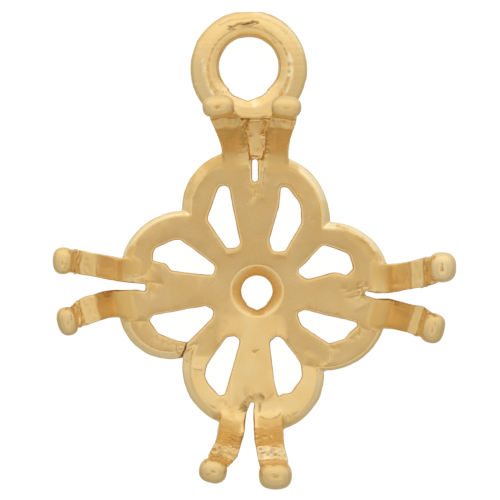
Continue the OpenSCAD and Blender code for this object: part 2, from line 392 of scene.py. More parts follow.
@dataclass
class Studio:
    """White tent around a white table, and a lens that looks straight down through a gap in it."""

    eye: tuple = (-0.321, 1.881, 350.0)
    lens: float = 547.5
    sensor: float = 36.0
    clip: Span = (0.01, 10.0)
    floor_half: float = 1500.0
    floor_grey: tuple = rgb(0.08, 0.08, 0.08)
    floor_glow: float = 0.97
    gap_lean: float = -7.0
    gap_core: float = 4.0
    gap_edge: float = 21.0
    gap_steepness: float = 1.5
    roof_edge: float = 26.0
    wall_edge: float = 48.0
    gap: tuple = rgb(0.30, 0.20, 0.08)
    roof: tuple = rgb(0.97, 0.95, 0.92)
    near_wall: tuple = rgb(0.70, 0.70, 0.70)
    far_wall: tuple = rgb(1.10, 1.10, 1.10)
    near_base: tuple = rgb(0.55, 0.55, 0.52)
    far_base: tuple = rgb(0.95, 0.95, 0.91)
    near_side: float = -0.3
    far_side: float = 1.0
    base_edge: float = -0.12

    def camera(self) -> None:
        """Hang the camera above the setting."""
        data = bpy.data.cameras.new("camera")
        data.lens = self.lens
        data.sensor_width = self.sensor
        data.clip_start, data.clip_end = self.clip
        view = new_object("camera", data)
        view.location = Vector(self.eye) * MM
        bpy.context.scene.camera = view

    def light(self) -> None:
        """Light the tent.

        A dim gap overhead has a bright roof round it, which is nearest at the far side. The walls
        are brightest at the far side too, and the tent's base is grey.
        """
        world = bpy.data.worlds.new("tent")
        world.use_nodes = True
        bpy.context.scene.world = world
        shader = Shader(world.node_tree)
        towards = shader.signal("ShaderNodeTexCoord", "Generated")
        sideways, forward, upward = (
            shader.vector("DOT_PRODUCT", "Value", towards, axis)
            for axis in ((1.0, 0.0, 0.0), (0.0, 1.0, 0.0), (0.0, 0.0, 1.0))
        )
        past = forward - math.sin(math.radians(self.gap_lean))
        past = past.math("MAXIMUM", past, past * self.gap_steepness)
        away = past.math("SQRT", sideways * sideways + past * past)
        gap_core, gap_edge, roof_edge, wall_edge = (
            math.sin(math.radians(angle))
            for angle in (self.gap_core, self.gap_edge, self.roof_edge, self.wall_edge)
        )
        side = forward.ease(self.near_side, self.far_side)
        roof = shader.mix(away.ease(gap_core, gap_edge), self.gap, self.roof)
        walls = shader.mix(side, self.near_wall, self.far_wall)
        tent = shader.mix(away.ease(roof_edge, wall_edge), roof, walls)
        base = shader.mix(side, self.near_base, self.far_base)
        colour = shader.mix(upward.ease(0.0, self.base_edge), tent, base)
        background = shader.signal("ShaderNodeBackground", 0, {}, {"Color": colour, "Strength": 1.0})
        shader.node("ShaderNodeOutputWorld", {}, {"Surface": background})

    def floor(self) -> None:
        """Lay the white table, which the metal doesn't mirror: it mirrors the tent's grey base."""
        shape = bmesh.new()
        bmesh.ops.create_grid(shape, x_segments=1, y_segments=1, size=self.floor_half * MM)
        sheet = new_object("floor", new_mesh("floor", shape))
        material = bpy.data.materials.new("white_paper")
        material.use_nodes = True
        shader = Shader(material.node_tree)
        surface = shader.signal(
            "ShaderNodeBsdfPrincipled", 0, {},
            {
                "Base Color": self.floor_grey,
                "Roughness": 1.0,
                "Emission Color": rgb(1.0, 1.0, 1.0),
                "Emission Strength": self.floor_glow,
                "Specular IOR Level": 0.0,
            },
        )
        shader.node("ShaderNodeOutputMaterial", {}, {"Surface": surface})
        sheet.data.materials.append(material)
        sheet.visible_glossy = False

    def build(self) -> None:
        """Set the camera, the light and the floor."""
        self.camera()
        self.light()
        self.floor()
        bpy.context.scene.view_settings.view_transform = "Standard"


class Grain:
    """Smooth random unevenness on a lattice, the same at every run.

    Each finer layer is shifted, so that the layers' corners don't fall together.
    """

    SIDE = 32
    LAYER_SHIFT = 7.3

    def __init__(self, seed: int) -> None:
        """Draw the lattice's heights from a seed."""
        self.heights = np.random.default_rng(seed).uniform(-1.0, 1.0, (self.SIDE,) * 3)

    def layer(self, places: np.ndarray) -> np.ndarray:
        """Read the lattice between its corners.

        Args:
            places: rows of x, y and z, in cells of the lattice.

        Returns:
            A height from -1 to 1 for each row.
        """
        base = np.floor(places).astype(int)
        share = smooth(places - base, 0.0, 1.0)
        total = np.zeros(len(places))
        for corner in np.ndindex(2, 2, 2):
            weight = np.where(corner, share, 1.0 - share).prod(axis=1)
            cell = (base + corner) % self.SIDE
            total += weight * self.heights[cell[:, 0], cell[:, 1], cell[:, 2]]
        return total

    def at(self, points: np.ndarray, size: float | Point, layers: int = 2) -> np.ndarray:
        """Unevenness of a size, with finer layers on it.

        Args:
            points: rows of x, y and z in millimetres.
            size: size of the coarsest grains, as one number or for x, y and z.
            layers: how many layers, each half as coarse and as high as the last.

        Returns:
            A height for each point, mostly from -1 to 1.
        """
        total = np.zeros(len(points))
        for k in range(layers):
            total += self.layer(points * 2.0**k / np.asarray(size) + self.LAYER_SHIFT * k) / 2.0**k
        return total


GRAIN = Grain(seed=41)


class Surface:
    """The metal's points in millimetres, where each shows from the front, their tilt and tones."""

    EYE = np.array(Studio.eye)
    FRONT_Z = 1.2
    FACING: ClassVar[Edge] = (0.0, 0.35)

    def __init__(self, mesh: bpy.types.Mesh) -> None:
        """Read a mesh's points and normals.

        Args:
            mesh: a mesh in millimetres, which the points and tones are written back to.
        """
        count = len(mesh.vertices)
        self.mesh = mesh
        self.points = np.empty((count, 3))
        self.normals = np.empty((count, 3))
        mesh.vertices.foreach_get("co", self.points.reshape(-1))
        mesh.vertex_normals.foreach_get("vector", self.normals.reshape(-1))
        self.tones = {tone: np.zeros(count) for tone in Tone}
        nearer = (self.EYE[2] - self.FRONT_Z) / (self.EYE[2] - self.points[:, 2])
        self.seen = self.EYE[:2] + (self.points[:, :2] - self.EYE[:2]) * nearer[:, None]
        self.front = smooth(self.normals[:, 2], *self.FACING)
        self.tilt = np.degrees(np.arccos(np.clip(self.normals[:, 2], -1.0, 1.0)))

    def raise_by(self, heights: np.ndarray, where: np.ndarray | slice = slice(None)) -> None:
        """Move points out along their normals.

        Args:
            heights: how far each goes, in millimetres.
            where: which points go.
        """
        self.points[where] += self.normals[where] * heights[:, None]

    def tint(self, tone: Tone, share: np.ndarray, where: np.ndarray | slice = slice(None)) -> None:
        """Give points at least this much of a tone.

        Args:
            tone: which tone.
            share: how much, from 0 to 1.
            where: which points.
        """
        self.tones[tone][where] = np.maximum(self.tones[tone][where], np.clip(share, 0.0, 1.0))

    def write_points(self) -> None:
        """Put the points back into the mesh."""
        self.mesh.vertices.foreach_set("co", self.points.reshape(-1).astype(np.float32))
        self.mesh.update()

    def write_tones(self) -> None:
        """Put the tones into the mesh as attributes."""
        for tone, values in self.tones.items():
            made = self.mesh.attributes.new(tone.value, "FLOAT", "POINT")
            made.data.foreach_set("value", values.astype(np.float32))


@dataclass(frozen=True)
class Mark:
    """A trace of a tool, of wear or of the casting, along a path in the front view.

    Its depth goes into the metal and its roughness both ways. Flat is the share of its width
    over which it has its full strength. The path wanders a little, and the mark fades in and out.
    """

    WANDER = 0.025
    WANDER_SIZE = 0.3
    WANDER_SHIFTS = (0.0, 5.0)
    FADE_SIZE = 0.45
    FADE: ClassVar[Swing] = (0.75, 0.45)
    TONE: ClassVar[Swing] = (0.8, 0.5)
    SHORTEST_RUN = 1e-9

    path: tuple[Point, ...]
    width: float
    depth: float = 0.0
    rough: float = 0.0
    grain: float = 0.16
    flat: float = 0.0
    # Dark brown tone: real stain, and painted shade where a mark stands for shade
    stain: float = 0.0
    cast: float = 0.0
    # Paler, smoother gold: wear, and on bright lines and patches a painted highlight
    polish: float = 0.0
    layer: Layer = Layer.PLATE

    def share(self, metal: Surface) -> tuple[np.ndarray, np.ndarray]:
        """Find the points that the mark touches.

        Args:
            metal: the surface.

        Returns:
            The points' numbers, and the mark's strength at each.
        """
        half = self.width / 2.0
        corners = np.array(self.path)
        low, high = corners.min(axis=0) - half, corners.max(axis=0) + half
        height = metal.points[:, 2]
        inside = (metal.seen > low).all(axis=1) & (metal.seen < high).all(axis=1) & (metal.front > 0.0)
        near = np.flatnonzero(inside & (height > self.layer.value[0]) & (height < self.layer.value[1]))
        points = metal.points[near]
        sway = [GRAIN.at(points + shift, self.WANDER_SIZE) for shift in self.WANDER_SHIFTS]
        seen = metal.seen[near] + self.WANDER * np.stack(sway, axis=1)
        away = np.full(len(near), half)
        for start, end in zip(corners, corners[1:] if len(corners) > 1 else corners):
            run = end - start
            along = np.clip((seen - start) @ run / max(run @ run, self.SHORTEST_RUN), 0.0, 1.0)
            away = np.minimum(away, np.linalg.norm(seen - start - along[:, None] * run, axis=1))
        mean, swing = self.FADE
        fade = np.clip(mean + swing * GRAIN.at(points, self.FADE_SIZE), 0.0, 1.0)
        return near, smooth(away, half, half * self.flat) * metal.front[near] * fade

    def shape(self, metal: Surface) -> None:
        """Cut the mark.

        Args:
            metal: the surface that it goes into.
        """
        near, share = self.share(metal)
        uneven = GRAIN.at(metal.points[near], self.grain) if self.rough else 0.0
        metal.raise_by(share * (self.rough * uneven - self.depth), near)

    def dress(self, metal: Surface) -> None:
        """Leave the mark's tones.

        Args:
            metal: the surface that they go on.
        """
        near, share = self.share(metal)
        mean, swing = self.TONE
        uneven = mean + swing * GRAIN.at(metal.points[near], self.grain)
        for tone, strength in ((Tone.STAIN, self.stain), (Tone.CAST, self.cast), (Tone.POLISH, self.polish)):
            if strength:
                metal.tint(tone, strength * share * uneven, near)


def seam(width: float, depth: float, stain: float, *path: Point, **more: float) -> Mark:
    """Thin sunk line, such as the root of a lobe."""
    return Mark(path, width, depth, stain=stain, **more)


def ridge(width: float, height: float, *path: Point, **more: float) -> Mark:
    """Raised line that the file left."""
    return Mark(path, width, -height, **more)


def crust(width: float, rough: float, stain: float, *path: Point, **more: float) -> Mark:
    """Patch that stayed as rough as it was cast."""
    return Mark(path, width, rough=rough, flat=0.5, stain=stain, cast=0.7, **more)


def patch(width: float, *path: Point, **more: float | Layer) -> Mark:
    """Patch with whichever measures and tones are named."""
    return Mark(path, width, **more)


def pit(width: float, depth: float, stain: float, x: float, y: float) -> Mark:
    """Small round hole, or a bead where its depth is below 0."""
    return Mark(((x, y),), width, depth, stain=stain)


def scuffs(
    seed: int, *path: Point, count: int, spread: float, length: float, heading: float, **more: float | Layer
) -> tuple[Mark, ...]:
    """Scatter short scratches along a path.

    Args:
        seed: start of the random numbers.
        path: corners of the path.
        count: how many scratches.
        spread: how far their middles stray from the path.
        length: the longest scratch.
        heading: their mean direction in degrees.
        more: the depth, width, tones and layer of each.

    Returns:
        The scratches.
    """
    heading_spread = 20.0
    half_lengths = (0.25, 0.5)
    chance = np.random.default_rng(seed)
    corners = np.array(path)
    made = []
    for _ in range(count):
        k = chance.integers(len(corners) - 1)
        middle = corners[k] + (corners[k + 1] - corners[k]) * chance.uniform()
        middle = middle + chance.uniform(-spread, spread, 2)
        turn = math.radians(heading + chance.uniform(-heading_spread, heading_spread))
        half = length * chance.uniform(*half_lengths) * np.array([math.cos(turn), math.sin(turn)])
        made.append(Mark((tuple(middle - half), tuple(middle + half)), **more))
    return tuple(made)


@dataclass(frozen=True)
class Plate:
    """The pierced plate: eight lobes, eight spokes, a hub and the slots between the claws.

    Its soft edges are heights, upward parts of normals, or places in the front view.
    """

    thickness: float = 1.2
    lobes: tuple[tuple[float, float, float], ...] = (
        (-0.80, 3.80, 2.64), (-3.35, 0.75, 2.93), (0.35, 3.30, 2.99), (3.35, 0.40, 2.74),
        (-4.00, -0.80, 2.33), (-0.80, -3.55, 2.62), (3.05, -0.75, 2.92), (0.50, -3.85, 2.58),
    )
    rim_edge: Edge = (0.275, 0.55)
    hub_edge: Edge = (1.3, 1.5)
    front_edge: Edge = (1.4, 1.2)
    ramps_edge: Edge = (2.2, 1.4)
    walls_edge: Edge = (0.7, 0.3)
    wave_size: float = 1.7
    wave_height: float = 0.007
    edge_sway: float = 0.02
    edge_size: float = 0.55
    # Painted shade: dark brown on the sloping edges of the openings, its strength, tilts and unevenness
    edge_shade: float = 0.4
    edge_shade_turn: Span = (0.2, 0.94)
    edge_shade_uneven: Swing = (0.75, 0.5)
    skin_turn: Edge = (0.55, 0.25)
    # Wear on the bevels, and a painted highlight where they face +y; bevel_dull takes most of it off the
    # upper left bevels
    bevel_turn: Span = (0.35, 0.94)
    bevel_from_hub: Edge = (2.0, 2.5)
    bevel_worn: float = 0.7
    bevel_far_highlight: Edge = (0.0, 0.3)
    bevel_dull: float = 0.8
    bevel_dull_x: Edge = (0.0, -0.6)
    bevel_dull_y: Edge = (3.5, 3.9)
    filed_lobe: int = 6
    filed_share: float = 0.75
    filed_edge: Edge = (0.5, 0.4)
    filed_own: Edge = (0.0, 0.3)
    filed_turn: Edge = (0.3, 0.6)
    filed_heights: Span = (0.7, 1.3)
    filed_from_hub: Edge = (3.0, 3.3)
    bend_start: float = -1.1
    bend_slope: float = 0.068
    bend_left: Edge = (-1.95, -1.05)
    bend_right: float = 1.15
    bend_right_soft: Span = (0.3, 0.6)
    bend_right_softer: Edge = (-4.5, -5.1)
    lobe_bend_start: Point = (-3.0, -3.45)
    lobe_bend_middle: Edge = (-0.5, 0.5)
    lobe_bend_end: Edge = (3.4, 3.0)
    lobe_slope: float = 0.105
    top_bend: Span = (0.8, 6.0)
    top_slope: float = 0.018
    bend_front: Edge = (0.5, 1.1)
    bend_claws: Edge = (2.4, 1.3)
    crack: tuple[Point, ...] = ((-3.22, -2.34), (-3.31, -2.68), (-3.49, -3.10))
    marks: tuple[Mark, ...] = (
        seam(0.1, 0.02, 0.5, (-4.82, 1.25), (-4.95, 1.0), (-5.2, 0.76), (-5.5, 0.66), (-6.0, 0.6)),
        seam(0.1, 0.012, 0.5, (-6.05, -1.38), (-5.0, -1.38)),
        seam(0.1, 0.009, 0.15, (2.3, -3.42), (2.65, -3.55), (3.0, -3.68)),
        seam(0.1, 0.012, 0.5, (4.7, -1.62), (4.95, -1.76), (5.2, -1.76)),
        seam(0.12, 0.018, 0.5, (4.72, -1.75), (4.68, -2.02)),
        seam(0.1, 0.03, 0.7, (0.15, -5.72), (0.35, -5.83), (0.65, -5.85), (0.95, -5.75), (1.1, -5.62)),
        seam(0.1, 0.009, 0.15, (0.35, -5.5), (0.55, -5.36), (0.78, -5.42), (0.86, -5.6)),
        seam(0.08, 0.007, 0.2, (1.0, -5.0), (1.2, -5.02), (1.2, -5.24)),
        seam(0.1, 0.015, 0.5, (-4.62, -2.02), (-4.55, -2.3)),
        seam(0.1, 0.012, 0.2, (-4.38, -2.08), (-4.22, -2.4)),
        seam(0.12, 0.015, 0.5, (-3.68, -2.45), (-3.7, -2.75), (-3.55, -2.9)),
        seam(0.1, 0.018, 0.5, (-0.12, 4.92), (-0.1, 4.6), (-0.14, 4.35)),
        seam(0.08, 0.009, 0.2, (-0.14, 4.35), (0.02, 4.3), (0.05, 4.5)),
        seam(0.09, 0.018, 0.3, (5.62, 1.08), (5.62, 0.8)),
        seam(0.08, 0.007, 0.25, (4.1, -0.1), (4.35, 0.02)),
        seam(0.08, 0.007, 0.25, (4.2, -0.35), (4.6, -0.25)),
        seam(0.08, 0.006, 0.25, (3.9, 0.12), (4.1, 0.1)),
        seam(0.1, 0.009, 0.25, (-5.0, 0.42), (-4.3, 0.32)),
        seam(0.08, 0.006, 0.12, (-1.55, -1.4), (-1.35, -1.65)),
        ridge(0.16, 0.01, (-5.92, 1.35), (-5.9, 0.95), (-5.7, 0.68)),
        # Ridges below that have a pale share carry a painted highlight along them as well as being raised
        ridge(0.18, 0.014, (-3.42, -3.12), (-3.2, -3.38), (-2.9, -3.52), (-2.5, -3.58), polish=0.9),
        ridge(0.14, 0.013, (3.4, -2.72), (3.44, -3.0), (3.36, -3.3)),
        ridge(0.14, 0.013, (2.78, -3.75), (2.95, -3.5), (3.2, -3.35)),
        ridge(0.18, 0.014, (0.32, 5.6), (0.3, 5.0), (0.22, 4.3), polish=0.7),
        ridge(0.16, 0.006, (1.95, -0.86), (3.2, -1.06), (4.55, -1.38), polish=1.2),
        ridge(0.16, 0.006, (1.0, -2.02), (1.5, -2.5), (2.1, -3.35), (2.2, -3.9), polish=1.0),
        ridge(0.14, 0.004, (0.9, 4.75), (1.1, 4.98), (1.5, 4.9), (2.05, 4.2), polish=0.6),
        ridge(0.16, 0.006, (-3.0, 4.25), (-2.6, 5.0), (-2.05, 5.6)),
        ridge(0.14, 0.006, (4.5, -0.85), (5.2, -0.5), (5.6, -0.55)),
        ridge(0.16, 0.01, (-1.6, -5.2), (-1.5, -5.75)),
        ridge(0.14, 0.007, (-1.15, -5.3), (-1.1, -5.7)),
        ridge(0.16, 0.01, (-1.35, 1.72), (-1.0, 1.74), (-0.75, 1.86)),
        ridge(0.16, 0.01, (0.7, 1.62), (1.0, 1.66), (1.3, 1.62)),
        crust(
            0.42, 0.065, 0.5, (-0.64, -5.4), (-0.54, -5.15), (-0.37, -4.98), (-0.1, -4.91), (0.2, -4.88),
            grain=0.12,
        ),
        patch(
            0.44, (-0.62, -5.42), (-0.54, -5.17), (-0.37, -5.0), (-0.1, -4.93), (0.18, -4.9), flat=0.4,
            stain=0.7, cast=0.8,
        ),
        patch(
            0.55, (-3.17, 4.43), (-2.92, 5.03), (-2.53, 5.53), (-2.03, 5.92), (-1.4, 6.2), flat=0.5,
            stain=0.2, cast=0.6,
        ),
        patch(
            0.26, (3.7, 2.92), (3.95, 2.85), (4.27, 2.71), (4.77, 2.39), (5.23, 1.92), (5.49, 1.47),
            flat=0.5, stain=0.3, cast=0.9,
        ),
        crust(0.16, 0.02, 0.6, (0.14, -4.98), (0.12, -5.5)),
        patch(0.9, (-1.3, 6.05), (0.9, 6.05), stain=0.12, cast=0.7),
        crust(0.16, 0.03, 0.5, (4.8, 0.18), (4.86, 0.02), (4.85, -0.14), (4.98, -0.28)),
        crust(0.3, 0.02, 0.12, (-4.85, 0.3), (-4.82, 0.0)),
        crust(0.35, 0.03, 0.12, (0.2, 5.78), (0.35, 6.2)),
        crust(0.3, 0.015, 0.1, (-0.05, 4.75), (0.0, 4.4)),
        crust(0.22, 0.025, 0.3, (3.35, -2.5), (3.72, -2.62)),
        crust(0.3, 0.025, 0.15, (-4.4, -2.12), (-3.9, -2.34), (-3.45, -2.44), grain=0.12),
        crust(0.22, 0.02, 0.25, (4.35, -2.12), (4.6, -1.9)),
        crust(0.42, 0.025, 0.08, (1.35, -5.78), (1.95, -5.9)),
        crust(0.3, 0.02, 0.06, (-2.05, -5.6), (-1.75, -5.72)),
        crust(0.4, 0.02, 0.06, (-1.2, -5.35), (-1.15, -5.85)),
        crust(0.3, 0.015, 0.08, (-1.7, -5.0), (-1.45, -5.15)),
        crust(0.22, 0.025, 0.15, (-5.9, -0.14), (-5.6, -0.12)),
        crust(0.18, 0.02, 0.15, (-6.2, -0.2), (-6.0, -0.2)),
        crust(0.4, 0.01, 0.06, (2.3, -2.9), (2.75, -3.05)),
        crust(0.22, 0.02, 0.15, (5.2, -0.35), (5.6, -0.5)),
        crust(0.12, 0.015, 0.4, (-5.0, 0.47), (-5.6, 0.52)),
        pit(0.12, 0.05, 0.8, -0.13, -2.83),
        *scuffs(
            11, (-0.66, -5.38), (-0.56, -5.12), (-0.37, -4.97), (-0.1, -4.9), (0.2, -4.87),
            count=48, spread=0.13, length=0.14, heading=30.0, width=0.09, depth=0.025, stain=1.0,
        ),
        *scuffs(
            13, (4.4, 0.02), (4.85, 0.02),
            count=12, spread=0.28, length=0.35, heading=20.0, width=0.07, depth=0.015, stain=0.5,
        ),
        pit(0.09, 0.02, 0.3, -2.8, -3.35),
        pit(0.1, 0.03, 0.4, 0.75, -5.5),
        pit(0.1, 0.03, 0.5, 1.85, -5.85),
        pit(0.08, 0.015, 0.3, -1.4, -3.75),
        pit(0.08, 0.02, 0.4, 4.05, 0.05),
        pit(0.08, 0.01, 0.15, 2.6, 3.3),
        seam(0.16, 0.05, 0.9, *crack),
    )
    crack_width: float = 0.08
    crack_floor: float = 0.35
    crack_height: float = 3.0

    def reach(self, metal: Surface) -> np.ndarray:
        """How far each point lies inside each lobe's circle, in a row for each lobe."""
        x, y = metal.points[:, :2].T
        return np.array([radius - np.hypot(x - a, y - b) for a, b, radius in self.lobes])

    def inside_rim(self, metal: Surface) -> np.ndarray:
        """Weigh how far the points lie inside the lobes' outline and outside the countersink.

        Args:
            metal: the surface.

        Returns:
            A share for each point.
        """
        hub = np.hypot(metal.points[:, 0], metal.points[:, 1])
        return smooth(self.reach(metal).max(axis=0), *self.rim_edge) * smooth(hub, *self.hub_edge)

    def bend(self, metal: Surface) -> None:
        """Raise the front of the lowest spoke and lobes, and a little of the highest ones.

        Args:
            metal: the surface.
        """
        x, y, z = metal.points.T
        soft, softer = self.bend_right_soft
        soft = soft + softer * smooth(y, *self.bend_right_softer)
        middle = np.maximum(0.0, self.bend_start - y)
        middle *= smooth(x, *self.bend_left) * smooth(x, self.bend_right + soft, self.bend_right - soft)
        left, right = self.lobe_bend_start
        start = left + (right - left) * smooth(x, *self.lobe_bend_middle)
        sides = np.maximum(0.0, start - y) * smooth(x, *self.lobe_bend_end)
        low, high = self.top_bend
        rise = np.maximum(self.bend_slope * middle, self.lobe_slope * sides)
        rise += self.top_slope * (np.clip(y, low, high) - low)
        metal.points[:, 2] += rise * smooth(z, *self.bend_front) * smooth(z, *self.bend_claws)

    def file_lobe(self, metal: Surface) -> None:
        """Fill most of one lobe's bevel, which the real one lacks.

        Args:
            metal: the surface.
        """
        x, y, z = metal.points.T
        reach = self.reach(metal)
        own = reach[self.filed_lobe]
        others = np.delete(reach, self.filed_lobe, axis=0).max(axis=0)
        share = smooth(own, *self.filed_edge) * smooth(own - others, *self.filed_own)
        share *= smooth(metal.normals[:, 2], *self.filed_turn) * window(z, *self.filed_heights)
        share *= smooth(np.hypot(x, y), *self.filed_from_hub)
        metal.points[:, 2] += self.filed_share * share * np.maximum(0.0, self.thickness - z)

    def shape(self, metal: Surface) -> None:
        """Wave, bend and mark the plate's front.

        Args:
            metal: the surface.
        """
        upward = abs(metal.normals[:, 2])
        wave = self.wave_height * GRAIN.at(metal.points, self.wave_size)
        sway = self.edge_sway * GRAIN.at(metal.points, self.edge_size) * smooth(upward, *self.walls_edge)
        metal.raise_by((wave * upward + sway) * smooth(metal.points[:, 2], *self.ramps_edge))
        self.file_lobe(metal)
        self.bend(metal)
        metal.points[:, 2] = np.maximum(metal.points[:, 2], 0.0)
        for mark in self.marks:
            mark.shape(metal)

    def dress(self, metal: Surface) -> None:
        """Leave skin on the walls of the openings, painted shade on their edges, and wear with a painted
        highlight on the bevels.

        Args:
            metal: the surface.
        """
        _, forward, upward = metal.normals.T
        x, y, z = metal.points.T
        low = smooth(z, *self.front_edge)
        inside = self.inside_rim(metal)
        mean, swing = self.edge_shade_uneven
        uneven = mean + swing * GRAIN.at(metal.points, self.edge_size)
        metal.tint(Tone.CAST, smooth(abs(upward), *self.skin_turn) * low)
        # Painted shade: a dark brown line on the sloping edges of the openings, uneven along them
        metal.tint(Tone.STAIN, self.edge_shade * window(upward, *self.edge_shade_turn) * low * inside * uneven)
        # Bevels: pale with wear all round, and a painted highlight where they face +y
        outside = (1.0 - inside) * smooth(np.hypot(x, y), *self.bevel_from_hub)
        rubbed_and_lit = np.maximum(self.bevel_worn, smooth(forward, *self.bevel_far_highlight))
        rubbed_and_lit *= 1.0 - self.bevel_dull * smooth(x, *self.bevel_dull_x) * smooth(y, *self.bevel_dull_y)
        metal.tint(Tone.POLISH, window(upward, *self.bevel_turn) * rubbed_and_lit * outside * low)
        for mark in self.marks:
            mark.dress(metal)

    def crack_cutter(self) -> bpy.types.Object:
        """Make the wedge that opens the joint again.

        Returns:
            The wedge, from near the back to over the front.
        """
        start, *middle, end = [Vector((x, y, self.crack_floor)) for x, y in self.crack]
        run = (end - start).normalized()
        side = Vector((-run.y, run.x, 0.0)) * self.crack_width / 2.0
        outline = [start, *[p + side for p in middle], end + side, end - side, *[p - side for p in middle]]
        shape = bmesh.new()
        face = shape.faces.new([shape.verts.new(p) for p in outline])
        grown = bmesh.ops.extrude_face_region(shape, geom=[face])
        tops = [e for e in grown["geom"] if isinstance(e, bmesh.types.BMVert)]
        bmesh.ops.translate(shape, verts=tops, vec=(0.0, 0.0, self.crack_height))
        bmesh.ops.recalc_face_normals(shape, faces=shape.faces)
        return new_object("crack", new_mesh("crack", shape))


@dataclass(frozen=True)
class Wear:
    """How rough a claw's notch, seat and ramp stayed, how worn, brown and dirty they are, and how strong the
    painted shade in the crease at its root is.
    """

    notch_rough: float
    seat_rough: float
    ramp_rough: float
    seat_skin: float
    seat_dirt: float
    ramp_worn: float
    ramp_skin: float
    ramp_dirt: float
    # Strength of the painted shade in the crease at the claw's root, and the tilts that it covers
    foot_shade: float
    foot_tilt: Span = (5.0, 54.0)
    seat_worn: float = 0.0
    tip_worn: float = 0.0
    tip_dirt: float = 0.07


@dataclass(frozen=True)
class Claw:
    """One claw: its ramp, the seat and notch for the stone and the tip over it.

    Places along the claw are measured back from the middle of the tip, the edges of its root and
    foot from its sides, and the heights of its notch, seat and neck from the seat and the tip. The
    notch's outer end and the neck's ends are shares of the tip's radius. A full roughness is the
    one whose hollows hold all the dirt that they can.
    """

    name: str
    x: float
    y: float
    heading: float
    foot: float
    seat_in: float
    seat_out: float
    radius: float
    width: float
    wear: Wear
    marks: tuple[Mark, ...] = ()
    tip_z: float = 4.65
    seat_z: float = 3.45
    reach: Edge = (1.3, 1.1)
    notch_heights: Edge = (-0.5, -0.2)
    seat_heights: Stretch = (-0.11, 0.2, 0.12)
    seat_ends: Stretch = (-0.15, 0.12, 0.1)
    ledge_ends: Stretch = (-0.2, 0.15, 0.3)
    notch_in: float = 0.1
    notch_out: float = 0.95
    ramp_ends: Stretch = (0.3, 0.0, 0.3)
    ramp_heights: Edge = (1.3, 1.8)
    foot_ends: Stretch = (-0.45, 0.55, 0.5)
    foot_heights: Edge = (0.9, 1.15)
    foot_sides: Edge = (0.35, 0.0)
    root_ends: Stretch = (-1.1, 1.0, 0.4)
    root_heights: Edge = (0.95, 1.15)
    root_sides: Edge = (0.15, -0.05)
    neck_in: float = 1.3
    neck_out: float = 1.2
    neck_soft: float = 0.2
    neck_heights: Stretch = (0.3, 0.1, 0.3)
    neck_loose: float = 0.4
    tip_edge: Edge = (1.25, 1.05)
    tip_cover: float = 0.9
    dome: float = 0.05
    dome_edge: Edge = (0.0, 0.2)
    lump_size: float = 0.22
    fine_size: float = 0.13
    tip_size: float = 0.6
    tip_height: float = 0.014
    streak_size: tuple[float, float, float] = (1.6, 0.16, 3.0)
    streak_height: float = 0.012
    streak_tone: Swing = (0.6, 0.4)
    seat_sway: float = 0.05
    sway_size: float = 0.4
    speck_size: float = 0.2
    speck_edge: Edge = (0.0, -0.6)
    speck_dirt: float = 0.2
    notch_dirt: float = 0.5
    notch_skin: float = 0.25
    notch_worn: float = 0.7
    notch_full_rough: float = 0.04
    seat_full_rough: float = 0.03
    ramp_higher: Edge = (1.4, 3.05)
    ramp_dirt_even: float = 0.7
    ramp_skin_even: float = 0.4
    ramp_skin_low: float = 0.3
    foot_worn: float = 0.85
    # Painted shade in the root's crease: its skin and stain shares, and the softness of its tilt window
    foot_shade_skin: float = 0.85
    foot_shade_stain: float = 0.22
    foot_tilt_soft: float = 12.0

    def local(self, points: np.ndarray) -> tuple[np.ndarray, np.ndarray, np.ndarray]:
        """Turn points into the claw's own frame.

        Args:
            points: rows of x, y and z.

        Returns:
            How far each is out along the claw from the tip's middle, across it and up.
        """
        turn = math.radians(self.heading)
        x, y = points[:, 0] - self.x, points[:, 1] - self.y
        along = x * math.cos(turn) + y * math.sin(turn)
        across = y * math.cos(turn) - x * math.sin(turn)
        return along, across, points[:, 2]

    def zones(self, metal: Surface) -> dict[str, np.ndarray]:
        """Weigh how much each point belongs to each zone of the claw.

        Args:
            metal: the surface.

        Returns:
            A share for each point, under the name of the zone.
        """
        along, across, up = self.local(metal.points)
        half, radius = self.width / 2.0, self.radius
        own = smooth(abs(across), *self.reach)
        sides, over_seat = abs(across) - half, up - self.seat_z
        high = smooth(over_seat, *self.notch_heights)
        seat = stretch(over_seat, 0.0, 0.0, self.seat_heights)
        seat *= stretch(along, -self.seat_in, -self.seat_out, self.seat_ends)
        bead = np.sqrt((along / radius) ** 2 + ((up - self.tip_z) / radius) ** 2)
        tip = smooth(np.maximum(bead, abs(across) / half), *self.tip_edge)
        notch = high * window(along, -self.seat_out - self.notch_in, -self.notch_out * radius)
        ramp = smooth(up, *self.ramp_heights) * stretch(along, -self.foot, -self.seat_in, self.ramp_ends)
        foot = smooth(up, *self.foot_heights) * smooth(sides, *self.foot_sides)
        foot *= stretch(along, -self.foot, -self.foot, self.foot_ends)
        root = smooth(up, *self.root_heights) * smooth(sides, *self.root_sides)
        root *= stretch(along, -self.foot, -self.foot, self.root_ends)
        neck = window(along, -self.neck_in * radius, self.neck_out * radius, self.neck_soft)
        neck *= stretch(up, self.seat_z, self.tip_z, self.neck_heights)
        return {
            "notch": own * notch * (1.0 - seat) * (1.0 - self.tip_cover * tip),
            "seat": own * seat,
            "ramp": own * ramp,
            "foot": foot,
            "ledge": own * high * stretch(along, -self.seat_in, -self.seat_out, self.ledge_ends),
            "root": root,
            "neck": own * neck,
            "tip": tip,
        }

    def streaks(self, metal: Surface) -> np.ndarray:
        """Unevenness that is drawn out along the claw."""
        return GRAIN.at(np.stack(self.local(metal.points), axis=1), self.streak_size)

    def own_marks(self) -> tuple[Mark, ...]:
        """The claw's marks, at the claws' height instead of the plate's."""
        return tuple(replace(mark, layer=Layer.CLAW) for mark in self.marks)

    def loose(self, metal: Surface) -> np.ndarray:
        """Share by which each point gives way when the casting is rounded."""
        zones = self.zones(metal)
        return np.maximum(zones["foot"], self.neck_loose * zones["neck"])

